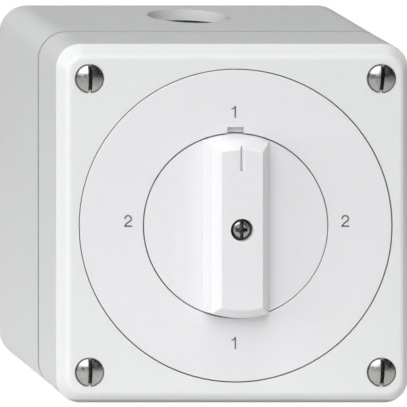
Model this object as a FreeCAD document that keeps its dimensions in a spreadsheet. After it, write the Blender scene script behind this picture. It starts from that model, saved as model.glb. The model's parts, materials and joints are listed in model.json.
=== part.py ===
import FreeCAD, Part
import math
import os

import Sketcher
from FreeCAD import Placement, Rotation, Vector

# Surface-mounted rotary change-over switch, 1-2-1-2, in millimetres.
#
# The origin is the centre of the back face, which lies on the wall. +Z is up, +X is to the right
# for someone facing the switch, and the front looks along -Y. "Depth" is the distance in front of
# the wall, so a point at depth d has y = -d. All outlines drawn on the XZ plane grow forwards.

SIZES = {
    # enclosure
    "box_width": 88.4,
    "box_height": 90.1,
    "corner_round": 7.0,
    "side_wall": 2.8,
    "back_wall": 2.6,
    "back_edge_round": 0.8,
    "base_depth": 39.8,
    "seam_gap": 0.8,
    "seam_edge_round": 0.2,
    "tongue_inset": 1.4,
    "tongue_width": 1.0,
    "tongue_height": 1.7,
    "groove_play": 0.2,
    "groove_depth": 2.0,
    "post_pitch_x": 73.0,
    "post_pitch_z": 73.4,
    "post_radius": 5.0,
    "post_rib": 1.6,
    # cover
    "cover_side": 16.6,
    "cover_inset": 0.15,
    "bevel_corner_round": 6.0,
    "bevel_width_x": 2.1,
    "bevel_width_z": 2.65,
    "bevel_depth": 3.4,
    "face_corner_round": 4.0,
    "face_edge_round": 1.6,
    "bevel_edge_round": 0.5,
    "cover_wall": 4.6,
    "cover_inner_round": 3.0,
    "web_thickness": 2.4,
    "boss_radius": 4.6,
    "collar_radius": 12.0,
    "collar_depth": 46.6,
    # cable entry and wall fixing
    "entry_radius": 10.25,
    "entry_depth": 17.0,
    "knock_out_groove": 0.85,
    "knock_out_skin": 0.9,
    "wall_hole_radius": 2.25,
    "wall_hole_pitch_x": 64.0,
    "wall_hole_pitch_z": 40.0,
    # cover screws, their inserts and seals
    "screw_radius": 1.75,
    "screw_play": 0.2,
    "screw_tip_depth": 32.9,
    "tip_room": 4.0,
    "head_radius": 3.5,
    "head_rim": 0.15,
    "head_below_face": 0.05,
    "head_rise": 0.9,
    "countersink_radius": 3.8,
    "sink_overrun": 0.5,
    "slot_width": 1.0,
    "slot_depth": 1.7,
    "insert_radius": 2.6,
    "insert_length": 8.0,
    "screw_seal": 0.8,
    "screw_seal_radius": 4.2,
    # front plate
    "plate_radius": 39.0,
    "plate_gap": 0.25,
    "plate_thickness": 3.2,
    "plate_edge_round": 0.2,
    "notch_width": 4.2,
    "notch_reach": 24.65,
    "notch_depth": 1.5,
    "hook_radius": 33.0,
    "hook_thickness": 1.4,
    "hook_width": 6.0,
    "hook_barb": 0.8,
    "hook_barb_height": 1.0,
    "hook_play": 0.2,
    "hook_room": 0.3,
    # knob
    "knob_radius": 22.9,
    "knob_gap": 0.25,
    "knob_disc": 2.8,
    "grip_height": 6.0,
    "grip_half_foot": 8.35,
    "grip_half_shoulder": 7.05,
    "grip_half_flat": 5.15,
    "grip_shoulder_drop": 2.0,
    "grip_end_shoulder": 22.3,
    "grip_end_flat": 20.05,
    "grip_edge_round": 0.35,
    "pointer_start": 14.8,
    "pointer_end": 24.0,
    "pointer_half_width": 0.6,
    "pointer_depth": 0.9,
    "hub_radius": 8.0,
    "hub_depth": 46.2,
    "hub_play": 0.1,
    "seal_section": 1.7,
    "seal_width": 2.0,
    "seal_offset": 0.8,
    "knob_screw_bore": 2.85,
    "knob_screw_sink": 2.6,
    "knob_head_radius": 2.6,
    "knob_head_height": 2.0,
    "knob_head_round": 1.3,
    "knob_screw_radius": 1.45,
    "knob_screw_tip": 48.5,
    "knob_slot_half": 0.45,
    "knob_slot_depth": 1.1,
    "cross_half": 1.5,
    "cross_depth": 1.4,
    "cross_centre": 0.9,
    "cross_centre_depth": 1.6,
    "shank_play": 0.1,
    "socket_play": 0.3,
    # shaft and rear bearing
    "shaft_half": 2.5,
    "shaft_front": 56.0,
    "shaft_thread_depth": 10.0,
    "journal_radius": 2.1,
    "running_play": 0.05,
    "bush_radius": 4.0,
    "bush_flange_radius": 6.0,
    "bush_flange": 0.7,
    "bush_flange_sink": 1.8,
    "bush_rear": 6.0,
    "clip_thickness": 0.6,
    "clip_radius": 4.0,
    "clip_mouth": 2.4,
    "clip_play": 0.2,
    "clip_groove_radius": 1.6,
    "shaft_tail": 0.7,
    # switch block
    "block_rear": 7.0,
    "mount_plate": 3.0,
    "core_half": 20.0,
    "core_round": 3.0,
    "deck_pitch": 8.4,
    "deck_floor": 1.2,
    "cavity_radius": 15.8,
    "boss_hole": 8.3,
    "tie_pitch": 34.0,
    "tie_radius": 1.5,
    "tie_play": 0.1,
    "tie_head_radius": 2.75,
    "tie_head": 2.0,
    "tie_nut_across": 5.5,
    "tie_nut": 2.4,
    "tie_tail": 1.0,
    "ear_reach": 27.7,
    "standoff_pitch": 47.0,
    "standoff_radius": 4.0,
    "standoff_floor": 0.6,
    "mount_screw_radius": 1.5,
    "mount_head_radius": 3.2,
    "mount_head": 2.2,
    "small_slot": 0.8,
    # rotors and contacts
    "rotor_radius": 10.0,
    "rotor_boss": 8.0,
    "rotor_start": 1.4,
    "rotor_end": 7.4,
    "sleeve_radius": 4.6,
    "bridge_thickness": 1.0,
    "bridge_half_width": 3.5,
    "bridge_ring": 7.6,
    "bridge_reach": 15.0,
    "fit_play": 0.05,
    "jaw_inner": 11.0,
    "jaw_half_width": 2.5,
    "jaw_web": 15.4,
    "jaw_leaf": 0.95,
    "strip_inner": 17.0,
    "strip_outer": 19.4,
    "strip_half_width": 2.0,
    "strip_end": 26.6,
    "lug_step": 12.0,
    "lug_half_width": 4.3,
    "lug_reach": 28.5,
    "lug_wall": 1.0,
    "clamp_inner": 21.2,
    "clamp_outer": 26.8,
    "clamp_bottom": 1.8,
    "clamp_height": 2.8,
    "clamp_play": 0.2,
    "wire_mouth_half": 2.4,
    "wire_mouth_start": 3.0,
    "wire_mouth_height": 3.2,
    "terminal_screw_radius": 1.5,
    "terminal_head_radius": 2.8,
    "terminal_head": 1.7,
    "terminal_shank": 5.8,
    # indexing mechanism
    "detent_depth": 7.2,
    "detent_plate": 1.6,
    "cam_half": 6.5,
    "cam_corner": 8.4,
    "cam_front_boss": 4.6,
    "cam_play": 0.3,
    "spring_thickness": 0.5,
    "spring_offset": 0.7,
    "slot_play": 0.02,
    "spring_half_length": 14.0,
    "spring_width": 4.6,
    "spring_room": 9.8,
    "spring_room_half_length": 10.0,
    # through terminals for earth and neutral
    "through_offset": 12.0,
    "through_low": -36.0,
    "through_length": 16.0,
    "through_height": 7.0,
    "through_depth": 8.0,
    "through_pitch": 8.0,
    "through_wire_radius": 1.8,
    "through_screw_lift": 0.8,
    "through_head_radius": 2.4,
    "through_head": 1.6,
    "pedestal": 1.4,
    "peg_radius": 1.2,
    "peg_height": 2.5,
    "peg_play": 0.05,
}

BURY = 0.2  # how far a joined stretch reaches into its neighbour
TOLERANCE = 1e-3  # how closely an edge has to match when it is picked by its place
DECKS = 3
QUARTERS = range(4)
SLOT_ANGLES = (0.0, 5.0, 1.0, 3.0)  # how far each cover screw's slot is turned from upright

doc = FreeCAD.newDocument("transfer_switch")
sheet = doc.addObject("Spreadsheet::Sheet", "Sizes")


class Size:
    """A length and the spreadsheet formula that drives it, kept together."""

    def __init__(self, value, formula):
        self.value = value
        self.formula = formula

    def join(self, sign, other, value):
        return Size(value, f"({self.formula} {sign} {other.formula})")

    def __add__(self, other):
        other = as_size(other)
        return self.join("+", other, self.value + other.value)

    def __sub__(self, other):
        other = as_size(other)
        return self.join("-", other, self.value - other.value)

    def __mul__(self, other):
        other = as_size(other)
        return self.join("*", other, self.value * other.value)

    def __truediv__(self, other):
        other = as_size(other)
        return self.join("/", other, self.value / other.value)

    def __neg__(self):
        return Size(-self.value, f"(0 - {self.formula})")


def as_size(number):
    if isinstance(number, Size):
        return number
    return Size(float(number), repr(float(number)))


class Named:
    """Every driving size as an attribute, such as size.box_width."""


size = Named()
for row, (alias, number) in enumerate(SIZES.items(), start=1):
    sheet.set(f"A{row}", alias)
    sheet.set(f"B{row}", str(number))
    sheet.setAlias(f"B{row}", alias)
    setattr(size, alias, Size(number, f"Sizes.{alias}"))
doc.recompute()


def drive(thing, name, length):
    """Bind one property of an object to a formula of the sheet."""
    thing.setExpression(name, as_size(length).formula)


# ---------------------------------------------------------------- sketches and features


def hold(sketch, kind, *where_and_size):
    """Add a driving dimension to a sketch."""
    *where, length = where_and_size
    number = sketch.addConstraint(Sketcher.Constraint(kind, *where, length.value))
    sketch.setExpression(f"Constraints[{number}]", length.formula)


def hold_point(sketch, part, end, across, up):
    """Fix a point of a sketch at a place given from the origin."""
    for kind, axis, length in (("DistanceX", -2, as_size(across)), ("DistanceY", -1, as_size(up))):
        if length.value == 0:
            sketch.addConstraint(Sketcher.Constraint("PointOnObject", part, end, axis))
        elif length.value > 0:
            hold(sketch, kind, -1, 1, part, end, length)
        else:
            hold(sketch, kind, part, end, -1, 1, -length)


def circle(radius, across=0, up=0):
    """An outline: a circle about a point."""
    radius, across, up = as_size(radius), as_size(across), as_size(up)

    def draw(sketch):
        centre = Vector(across.value, up.value, 0)
        part = sketch.addGeometry(Part.Circle(centre, Vector(0, 0, 1), radius.value))
        hold(sketch, "Radius", part, radius)
        hold_point(sketch, part, 3, across, up)

    return draw


def polygon(*points):
    """An outline: straight edges through points in order."""
    points = [(as_size(across), as_size(up)) for across, up in points]

    def draw(sketch):
        corners = [Vector(across.value, up.value, 0) for across, up in points]
        after = corners[1:] + corners[:1]
        parts = [sketch.addGeometry(Part.LineSegment(a, b)) for a, b in zip(corners, after)]
        for part, following in zip(parts, parts[1:] + parts[:1]):
            sketch.addConstraint(Sketcher.Constraint("Coincident", part, 2, following, 1))
        for part, (across, up) in zip(parts, points):
            hold_point(sketch, part, 1, across, up)

    return draw


def rectangle(left, right, low, high):
    """An outline: an upright rectangle."""
    return polygon((left, low), (right, low), (right, high), (left, high))


def rounded_rectangle(half_across, half_up, radius):
    """An outline: a rectangle about the origin with round corners."""
    half_across, half_up, radius = as_size(half_across), as_size(half_up), as_size(radius)

    def draw(sketch):
        far_x, far_z = half_across.value, half_up.value
        near_x, near_z = far_x - radius.value, far_z - radius.value
        starts = [(-near_x, -far_z), (far_x, -near_z), (near_x, far_z), (-far_x, near_z)]
        ends = [(near_x, -far_z), (far_x, near_z), (-near_x, far_z), (-far_x, -near_z)]
        centres = [(near_x, -near_z), (near_x, near_z), (-near_x, near_z), (-near_x, -near_z)]
        lines = []
        arcs = []
        for turn, (start, end, centre) in enumerate(zip(starts, ends, centres)):
            lines.append(sketch.addGeometry(Part.LineSegment(Vector(*start, 0), Vector(*end, 0))))
            whole = Part.Circle(Vector(*centre, 0), Vector(0, 0, 1), radius.value)
            begin = math.radians(90 * turn - 90)
            arcs.append(sketch.addGeometry(Part.ArcOfCircle(whole, begin, begin + math.pi / 2)))
        for turn in QUARTERS:
            along = "Horizontal" if turn % 2 == 0 else "Vertical"
            following = lines[(turn + 1) % 4]
            sketch.addConstraint(Sketcher.Constraint(along, lines[turn]))
            sketch.addConstraint(Sketcher.Constraint("Tangent", lines[turn], 2, arcs[turn], 1))
            sketch.addConstraint(Sketcher.Constraint("Tangent", arcs[turn], 2, following, 1))
        for arc in arcs[1:]:
            sketch.addConstraint(Sketcher.Constraint("Equal", arcs[0], arc))
        hold(sketch, "Radius", arcs[0], radius)
        hold(sketch, "DistanceY", lines[0], 1, -1, 1, half_up)
        hold(sketch, "DistanceX", -1, 1, lines[1], 1, half_across)
        hold(sketch, "DistanceY", -1, 1, lines[2], 1, half_up)
        hold(sketch, "DistanceX", lines[3], 1, -1, 1, half_across)

    return draw


def new_body(label):
    body = doc.addObject("PartDesign::Body", label)
    body.Label = label
    return body


def new_sketch(body, name, outlines, plane="XZ_Plane", offset=0):
    """A sketch on one of the body's own planes, moved along its normal."""
    sketch = body.newObject("Sketcher::SketchObject", name)
    support = next(item for item in body.Origin.OriginFeatures if item.Role == plane)
    sketch.AttachmentSupport = [(support, "")]
    sketch.MapMode = "FlatFace"
    drive(sketch, "AttachmentOffset.Base.z", offset)
    for draw in outlines:
        draw(sketch)
    return sketch


def pad(body, name, start, end, *outlines, plane="XZ_Plane"):
    """Add material between two depths, or between two heights on the XY plane."""
    start, end = as_size(start), as_size(end)
    feature = body.newObject("PartDesign::Pad", name)
    feature.Profile = new_sketch(body, name + "_outline", outlines, plane, start)
    drive(feature, "Length", end - start)
    doc.recompute()
    return feature


def pocket(body, name, start, end, *outlines, plane="XZ_Plane"):
    """Take material away between two depths, or between two heights on the XY plane."""
    start, end = as_size(start), as_size(end)
    before = body.Shape.Volume
    feature = body.newObject("PartDesign::Pocket", name)
    feature.Profile = new_sketch(body, name + "_outline", outlines, plane, end)
    drive(feature, "Length", end - start)
    doc.recompute()
    if body.Shape.Volume >= before:
        raise RuntimeError(f"{name} cuts nothing")
    return feature


def turned(body, name, outline, kind="PartDesign::Revolution"):
    """Turn a profile, drawn as (radius, depth), about the switch's axis."""
    feature = body.newObject(kind, name)
    profile = new_sketch(body, name + "_profile", [outline], "XY_Plane")
    feature.Profile = profile
    feature.ReferenceAxis = (profile, ["V_Axis"])
    feature.Angle = 360
    doc.recompute()
    return feature


def round_edges(body, name, radius, wanted):
    """Round the edges of the body's last feature that a test picks."""
    last = body.Tip
    picked = [f"Edge{n}" for n, edge in enumerate(last.Shape.Edges, start=1) if wanted(edge)]
    feature = body.newObject("PartDesign::Fillet", name)
    feature.Base = (last, picked)
    drive(feature, "Radius", radius)
    doc.recompute()
    return feature


def at_depth(edge, depth):
    """Whether an edge lies flat at a depth in front of the wall."""
    box = edge.BoundBox
    return max(abs(box.YMin + depth.value), abs(box.YMax + depth.value)) < TOLERANCE


def on_outside(edge):
    """Whether both ends of an edge lie on the outer sides of the box."""
    return all(
        abs(abs(v.X) - half_width.value) < TOLERANCE or abs(abs(v.Z) - half_height.value) < TOLERANCE
        for v in edge.Vertexes
    )


def on_circle(edge, radius):
    """Whether an edge is part of a circle about the switch's axis."""
    curve = edge.Curve
    if not isinstance(curve, Part.Circle):
        return False
    off_axis = math.hypot(curve.Center.x, curve.Center.z)
    return abs(curve.Radius - radius.value) < TOLERANCE and off_axis < TOLERANCE


# ---------------------------------------------------------------- primitives and booleans

FORWARDS = Rotation(Vector(1, 0, 0), 90)  # turns a primitive's own axis from +Z to -Y


def place(thing, across, depth, up):
    """Bind the place of an object: across and up from the axis, and depth from the wall."""
    drive(thing, "Placement.Base.x", across)
    drive(thing, "Placement.Base.y", -as_size(depth))
    drive(thing, "Placement.Base.z", up)


def block(left, right, start, end, low, high):
    """A box between two depths."""
    left, right, start, end, low, high = map(as_size, (left, right, start, end, low, high))
    box = doc.addObject("Part::Box", "block")
    drive(box, "Length", right - left)
    drive(box, "Width", end - start)
    drive(box, "Height", high - low)
    place(box, left, end, low)
    return box


def drum(radius, start, end, across=0, up=0, sweep=360.0, begin=0.0):
    """A cylinder, or a sector of one, that runs forwards between two depths."""
    start, end = as_size(start), as_size(end)
    cylinder = doc.addObject("Part::Cylinder", "drum")
    cylinder.Placement = Placement(Vector(), Rotation(Vector(0, 1, 0), -begin) * FORWARDS)
    cylinder.Angle = sweep
    drive(cylinder, "Radius", radius)
    drive(cylinder, "Height", end - start)
    place(cylinder, across, start, up)
    return cylinder


def cone(start_radius, end_radius, start, end, across=0, up=0):
    """A cone that runs forwards between two depths."""
    start, end = as_size(start), as_size(end)
    made = doc.addObject("Part::Cone", "cone")
    made.Placement = Placement(Vector(), FORWARDS)
    drive(made, "Radius1", start_radius)
    drive(made, "Radius2", end_radius)
    drive(made, "Height", end - start)
    place(made, across, start, up)
    return made


def hexagon(across_flats, start, end, across=0, up=0):
    """A hexagonal nut blank that runs forwards between two depths."""
    start, end = as_size(start), as_size(end)
    prism = doc.addObject("Part::Prism", "hexagon")
    prism.Placement = Placement(Vector(), FORWARDS)
    prism.Polygon = 6
    drive(prism, "Circumradius", as_size(across_flats) / math.sqrt(3))
    drive(prism, "Height", end - start)
    place(prism, across, start, up)
    return prism


def joined(parts, name="joined"):
    fused = doc.addObject("Part::MultiFuse", name)
    fused.Shapes = parts
    fused.Refine = True
    return fused


def cut(base, tools, name="cut"):
    made = doc.addObject("Part::Cut", name)
    made.Base = base
    made.Tool = tools[0] if len(tools) == 1 else joined(tools)
    made.Refine = True
    return made


def common(parts, name="common"):
    made = doc.addObject("Part::MultiCommon", name)
    made.Shapes = parts
    return made


def group(label, parts):
    """Identical pieces that share one node, each a separate solid."""
    made = doc.addObject("Part::Compound", label)
    made.Links = parts
    return made


def labelled(thing, label):
    thing.Label = label
    return thing


def side_span(quarter, lateral, radial):
    """The left, right, low and high sides of a rectangle given on the top side."""
    near, far = as_size(lateral[0]), as_size(lateral[1])
    low, high = as_size(radial[0]), as_size(radial[1])
    return (
        (near, far, low, high),
        (-high, -low, near, far),
        (-far, -near, -high, -low),
        (low, high, -far, -near),
    )[quarter]


def side_block(quarter, lateral, radial, start, end):
    """A box on one of the four sides, given on the top side and turned by quarters."""
    left, right, low, high = side_span(quarter, lateral, radial)
    return block(left, right, start, end, low, high)


def side_point(quarter, lateral, radial):
    """A point on one of the four sides, given on the top side and turned by quarters."""
    lateral, radial = as_size(lateral), as_size(radial)
    return ((lateral, radial), (-radial, lateral), (-lateral, -radial), (radial, -lateral))[quarter]


def corners(pitch_x, pitch_z):
    """The four corners of a rectangle about the axis."""
    half_x = pitch_x / 2
    half_z = pitch_z / 2
    return [(-half_x, half_z), (half_x, half_z), (-half_x, -half_z), (half_x, -half_z)]


# ---------------------------------------------------------------- derived places

half_width = size.box_width / 2
half_height = size.box_height / 2
cover_start = size.base_depth + size.seam_gap
bevel_start = cover_start + size.cover_side
face = bevel_start + size.bevel_depth
plate_back = face - size.plate_thickness
web_back = plate_back - size.web_thickness
grip_top = face + size.grip_height
bore_radius = size.knob_radius + size.knob_gap
screw_seat = grip_top - size.knob_screw_sink
seal_start = size.collar_depth + size.seal_offset
through_start = size.back_wall + size.pedestal

core_start = size.block_rear + size.mount_plate
detent_start = core_start + size.deck_pitch * DECKS
detent_end = detent_start + size.detent_depth
block_front = detent_end + size.detent_plate
flange_start = core_start - size.bush_flange_sink
shaft_start = flange_start + size.bush_flange
clip_end = size.bush_rear - size.clip_play
spring_near = size.cam_half + size.fit_play
spring_start = detent_start + size.deck_floor + size.spring_offset
post_spots = corners(size.post_pitch_x, size.post_pitch_z)
tie_spots = corners(size.tie_pitch, size.tie_pitch)


def shell_outline(inset, radius):
    """The outline of the box, moved in by an inset."""
    return rounded_rectangle(half_width - inset, half_height - inset, radius)


def deck_start(deck):
    return core_start + size.deck_pitch * deck


def lug_offset(deck):
    """The lugs of each deck stand beside those of the others, so all screws face the front."""
    return size.lug_step * (deck - 1)


# ---------------------------------------------------------------- enclosure


def ribs(corner_x, corner_z):
    """The two ribs that tie one corner post to the walls beside it."""
    half_rib = size.post_rib / 2
    into_wall = size.side_wall / 2
    post_x = size.post_pitch_x / 2 * corner_x
    post_z = size.post_pitch_z / 2 * corner_z
    x_span = sorted((post_x, (half_width - into_wall) * corner_x), key=by_value)
    z_span = sorted((post_z, (half_height - into_wall) * corner_z), key=by_value)
    level = rectangle(*x_span, post_z - half_rib, post_z + half_rib)
    upright = rectangle(post_x - half_rib, post_x + half_rib, *z_span)
    return level, upright


def by_value(length):
    return length.value


def make_base_box():
    body = new_body("base_box")
    wall = size.side_wall
    end = size.base_depth
    pad(body, "shell", 0, end, shell_outline(0, size.corner_round))
    pocket(body, "inside", size.back_wall, end, shell_outline(wall, size.corner_round - wall))
    round_edges(body, "back_edge", size.back_edge_round, lambda e: at_depth(e, as_size(0)))
    round_edges(body, "seam_edge", size.seam_edge_round, lambda e: at_depth(e, end) and on_outside(e))
    outer_inset = size.tongue_inset
    inner_inset = size.tongue_inset + size.tongue_width
    tongue = [shell_outline(inset, size.corner_round - inset) for inset in (outer_inset, inner_inset)]
    pad(body, "tongue", end, end + size.tongue_height, *tongue)
    pad(body, "posts", size.back_wall, end, *[circle(size.post_radius, *spot) for spot in post_spots])
    for corner_x in (-1, 1):
        for corner_z in (-1, 1):
            for rib in ribs(corner_x, corner_z):
                pad(body, "rib", size.back_wall, end, rib)
    insert_start = end - size.insert_length
    insert_bores = [circle(size.insert_radius, *spot) for spot in post_spots]
    tip_bores = [circle(size.screw_radius + size.screw_play, *spot) for spot in post_spots]
    pocket(body, "insert_bores", insert_start, end, *insert_bores)
    pocket(body, "tip_bores", insert_start - size.tip_room, insert_start, *tip_bores)
    half_pitch = size.standoff_pitch / 2
    spots = [(half_pitch, half_pitch), (-half_pitch, -half_pitch)]
    standoffs = [circle(size.standoff_radius, *spot) for spot in spots]
    standoff_bores = [circle(size.mount_screw_radius + size.fit_play, *spot) for spot in spots]
    bore_end = size.back_wall + size.standoff_floor
    pad(body, "standoffs", size.back_wall, size.block_rear, *standoffs)
    pocket(body, "standoff_bores", bore_end, size.block_rear, *standoff_bores)
    pedestals = [rectangle(*through_span(side)) for side in (-1, 1)]
    pegs = [circle(size.peg_radius, size.through_offset * side, size.through_low) for side in (-1, 1)]
    pad(body, "pedestals", size.back_wall, through_start, *pedestals)
    pad(body, "pegs", through_start, through_start + size.peg_height, *pegs)
    wall_holes = corners(size.wall_hole_pitch_x, size.wall_hole_pitch_z)
    pocket(body, "wall_holes", 0, size.back_wall, *[circle(size.wall_hole_radius, *s) for s in wall_holes])
    entry = circle(size.entry_radius, 0, -size.entry_depth)
    within = circle(size.entry_radius - size.knock_out_groove, 0, -size.entry_depth)
    floor = -half_height + wall - size.knock_out_skin
    pocket(body, "cable_entry", half_height - wall - 1, half_height, entry, plane="XY_Plane")
    pocket(body, "knock_out", -half_height, floor, entry, within, plane="XY_Plane")
    return body


def groove_outlines():
    """The seal groove's outlines: the tongue's, with play on both sides."""
    outer = size.tongue_inset - size.groove_play
    inner = size.tongue_inset + size.tongue_width + size.groove_play
    return [shell_outline(inset, size.corner_round - inset) for inset in (outer, inner)]


def make_box_gasket():
    body = new_body("box_gasket")
    start = size.base_depth + size.tongue_height
    pad(body, "ring", start, cover_start + size.groove_depth, *groove_outlines())
    return body


def make_cover():
    body = new_body("cover")
    face_outline = rounded_rectangle(
        half_width - size.cover_inset - size.bevel_width_x,
        half_height - size.cover_inset - size.bevel_width_z,
        size.face_corner_round,
    )
    sections = (
        ("seam", cover_start, shell_outline(0, size.corner_round)),
        ("bevel", bevel_start, shell_outline(size.cover_inset, size.bevel_corner_round)),
        ("face", face, face_outline),
    )
    drawn = [
        new_sketch(body, f"{name}_section", [outline], offset=depth) for name, depth, outline in sections
    ]
    shell = body.newObject("PartDesign::AdditiveLoft", "shell")
    shell.Profile = drawn[0]
    shell.Sections = drawn[1:]
    shell.Ruled = True
    doc.recompute()
    round_edges(body, "face_edge", size.face_edge_round, lambda e: at_depth(e, face))
    round_edges(body, "bevel_edge", size.bevel_edge_round, lambda e: at_depth(e, bevel_start))
    round_edges(body, "seam_edge", size.seam_edge_round, lambda e: at_depth(e, cover_start))
    inside = shell_outline(size.cover_wall, size.cover_inner_round)
    pocket(body, "inside", cover_start - 1, web_back, inside)
    pocket(body, "gasket_groove", cover_start - 1, cover_start + size.groove_depth, *groove_outlines())
    pocket(body, "plate_recess", plate_back, face + 1, circle(size.plate_radius + size.plate_gap))
    boss_start = size.base_depth + size.screw_seal
    into_web = web_back + size.web_thickness / 4
    pad(body, "bosses", boss_start, into_web, *[circle(size.boss_radius, *spot) for spot in post_spots])
    pad(body, "collar", size.collar_depth, into_web, circle(size.collar_radius))
    collar_bore = size.hub_radius + size.hub_play
    seal_end = seal_start + size.seal_width
    pocket(body, "hub_bore", size.collar_depth, plate_back, circle(collar_bore))
    pocket(body, "seal_groove", seal_start, seal_end, circle(collar_bore + size.seal_section))
    bores = [circle(size.screw_radius + size.screw_play, *spot) for spot in post_spots]
    pocket(body, "screw_bores", size.base_depth, face, *bores)
    sink_depth = size.countersink_radius - size.screw_radius
    for number, (across, up) in enumerate(post_spots):
        sink = body.newObject("PartDesign::SubtractiveCone", f"countersink_{number}")
        sink.Placement = Placement(Vector(), FORWARDS)
        drive(sink, "Radius1", size.screw_radius)
        drive(sink, "Radius2", size.countersink_radius + size.sink_overrun)
        drive(sink, "Height", sink_depth + size.sink_overrun)
        place(sink, across, face - sink_depth, up)
    half_window = size.hook_width / 2 + size.hook_room
    near = size.hook_radius - size.hook_room
    far = size.hook_radius + size.hook_thickness + size.hook_play
    for quarter in QUARTERS:
        window = side_span(quarter, (-half_window, half_window), (near, far))
        pocket(body, f"hook_window_{quarter}", web_back, plate_back, rectangle(*window))
    return body


def make_cover_screw(number, spot):
    """A slotted raised countersunk screw: shank, cone, rim and dome, with the slot cut across."""
    across, up = spot
    rim_end = face - size.head_below_face
    rim_start = rim_end - size.head_rim
    cone_start = rim_start - (size.head_radius - size.screw_radius)
    dome_top = rim_end + size.head_rise
    sphere_radius = (size.head_radius * size.head_radius / size.head_rise + size.head_rise) / 2
    ball = doc.addObject("Part::Sphere", "dome_ball")
    drive(ball, "Radius", sphere_radius)
    place(ball, across, dome_top - sphere_radius, up)
    dome = common([ball, drum(size.head_radius, rim_start, dome_top + 1, across, up)])
    shank = drum(size.screw_radius, size.screw_tip_depth, cone_start + BURY, across, up)
    sink = cone(size.screw_radius, size.head_radius, cone_start, rim_start, across, up)
    slot = block(0, size.slot_width, dome_top - size.slot_depth, dome_top + 1, 0, size.head_radius * 3)
    angle = SLOT_ANGLES[number]
    turn = Rotation(Vector(0, 1, 0), angle)
    slot.Placement = Placement(Vector(), turn)
    shift = turn.multVec(Vector(size.slot_width.value / 2, 0, size.head_radius.value * 1.5))
    place(slot, across - shift.x, dome_top + 1, up - shift.z)
    return cut(joined([shank, sink, dome]), [slot], f"cover_screw_{number}")


def make_cover_screws():
    return group("cover_screws", [make_cover_screw(n, spot) for n, spot in enumerate(post_spots)])


def ring(outer, inner, start, end, across=0, up=0):
    start, end = as_size(start), as_size(end)
    bore = drum(inner, start - 1, end + 1, across, up)
    return cut(drum(outer, start, end, across, up), [bore])


def make_cover_screw_inserts():
    end = size.base_depth
    start = end - size.insert_length
    bore = size.screw_radius + size.fit_play
    inserts = [ring(size.insert_radius, bore, start, end, *spot) for spot in post_spots]
    return group("cover_screw_inserts", inserts)


def make_cover_screw_seals():
    start = size.base_depth
    end = start + size.screw_seal
    bore = size.screw_radius + size.fit_play
    seals = [ring(size.screw_seal_radius, bore, start, end, *spot) for spot in post_spots]
    return group("cover_screw_seals", seals)


# ---------------------------------------------------------------- front plate and knob


def make_front_plate():
    body = new_body("front_plate")
    pad(body, "disc", plate_back, face, circle(size.plate_radius), circle(bore_radius))
    round_edges(
        body,
        "edges",
        size.plate_edge_round,
        lambda e: at_depth(e, face) and (on_circle(e, size.plate_radius) or on_circle(e, bore_radius)),
    )
    half_notch = size.notch_width / 2
    notch = rectangle(-half_notch, half_notch, bore_radius - 1, size.notch_reach)
    pocket(body, "notch", face - size.notch_depth, face, notch)
    half_hook = size.hook_width / 2
    barb_end = web_back - size.fit_play
    barb_start = barb_end - size.hook_barb_height
    hook_end = size.hook_radius + size.hook_thickness
    for quarter in QUARTERS:
        stem = side_span(quarter, (-half_hook, half_hook), (size.hook_radius, hook_end))
        barb = side_span(quarter, (-half_hook, half_hook), (hook_end - BURY, hook_end + size.hook_barb))
        pad(body, f"hook_{quarter}", barb_start, plate_back + BURY, rectangle(*stem))
        pad(body, f"barb_{quarter}", barb_start, barb_end, rectangle(*barb))
    return body


def make_knob():
    """Rotary disc, bar grip and hub in one moulding, turned and then cut to the bar's width."""
    body = new_body("knob")
    disc_back = face - size.knob_disc
    shoulder = grip_top - size.grip_shoulder_drop
    turned(
        body,
        "blank",
        polygon(
            (0, -size.hub_depth),
            (size.hub_radius, -size.hub_depth),
            (size.hub_radius, -disc_back),
            (size.knob_radius, -disc_back),
            (size.knob_radius, -face),
            (size.grip_end_shoulder, -shoulder),
            (size.grip_end_flat, -grip_top),
            (0, -grip_top),
        ),
    )
    for side, sign in (("left", -1), ("right", 1)):
        beside = polygon(
            (size.grip_half_foot * sign, -face),
            (size.grip_half_shoulder * sign, -shoulder),
            (size.grip_half_flat * sign, -grip_top),
            (size.grip_half_flat * sign, -grip_top - 1),
            (size.knob_radius * sign * 2, -grip_top - 1),
            (size.knob_radius * sign * 2, -face),
        )
        far = size.knob_radius * 2
        pocket(body, f"{side}_side", -far, far, beside, plane="XY_Plane")
    round_edges(body, "grip_edges", size.grip_edge_round, is_grip_edge)
    pointer = polygon(
        (-size.pointer_half_width, -grip_top),
        (0, -grip_top + size.pointer_depth),
        (size.pointer_half_width, -grip_top),
        (size.pointer_half_width, -grip_top - 1),
        (-size.pointer_half_width, -grip_top - 1),
    )
    pocket(body, "pointer", size.pointer_start, size.pointer_end, pointer, plane="XY_Plane")
    pocket(body, "screw_bore", screw_seat, grip_top, circle(size.knob_screw_bore))
    half_socket = size.shaft_half + size.fit_play
    socket = rectangle(-half_socket, half_socket, -half_socket, half_socket)
    shank_bore = circle(size.knob_screw_radius + size.shank_play)
    pocket(body, "shank_bore", size.shaft_front, screw_seat, shank_bore)
    pocket(body, "shaft_socket", size.hub_depth, size.shaft_front + size.socket_play, socket)
    return body


def is_grip_edge(edge):
    """The edges of the grip above the disc, without its foot."""
    box = edge.BoundBox
    return box.YMin < -face.value - 1 and box.YMax < -face.value + 1e-3 and edge.Length > 0.5


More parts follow.
